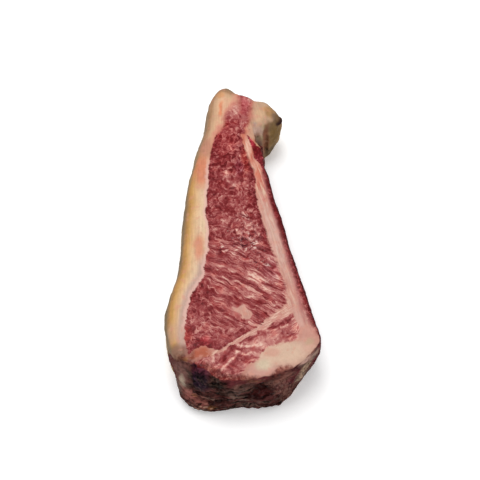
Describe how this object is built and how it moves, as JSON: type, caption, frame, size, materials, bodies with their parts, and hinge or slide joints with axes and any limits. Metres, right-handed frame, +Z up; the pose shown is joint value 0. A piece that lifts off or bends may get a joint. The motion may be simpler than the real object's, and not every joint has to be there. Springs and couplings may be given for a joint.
{
  "type": "rubia gallega sirloin",
  "caption": "Thick raw dry-aged beef sirloin steak with an ochre fat cap, marbled lean, a pale inner fat band and a dark dried end, lying on its cut face.",
  "frame": {"origin": "on the surface the steak lies on, under the middle of its bounding box", "axes": "+Z up out of the upper cut face, +Y along the steak to its thin tail end, +X towards the edge opposite the fat cap"},
  "size_m": [0.1068, 0.2488, 0.0465],
  "materials": {
    "lean": "moist raw red meat with fine pale marbling",
    "chain_lean": "moist raw red meat, heavily marbled",
    "dark_lean": "dried dark maroon meat",
    "cap_fat": "waxy ochre and cream fat",
    "roll_fat": "dried cream and olive fat",
    "seam_fat": "waxy pinkish white fat"
  },
  "bodies": {
    "root": {"eye_muscle": "lean", "chain_muscle": "chain_lean", "edge_lean": "dark_lean", "fat_cap": "cap_fat", "tail_fat": "roll_fat", "seam_fat": "seam_fat"}
  },
  "joints": []
}
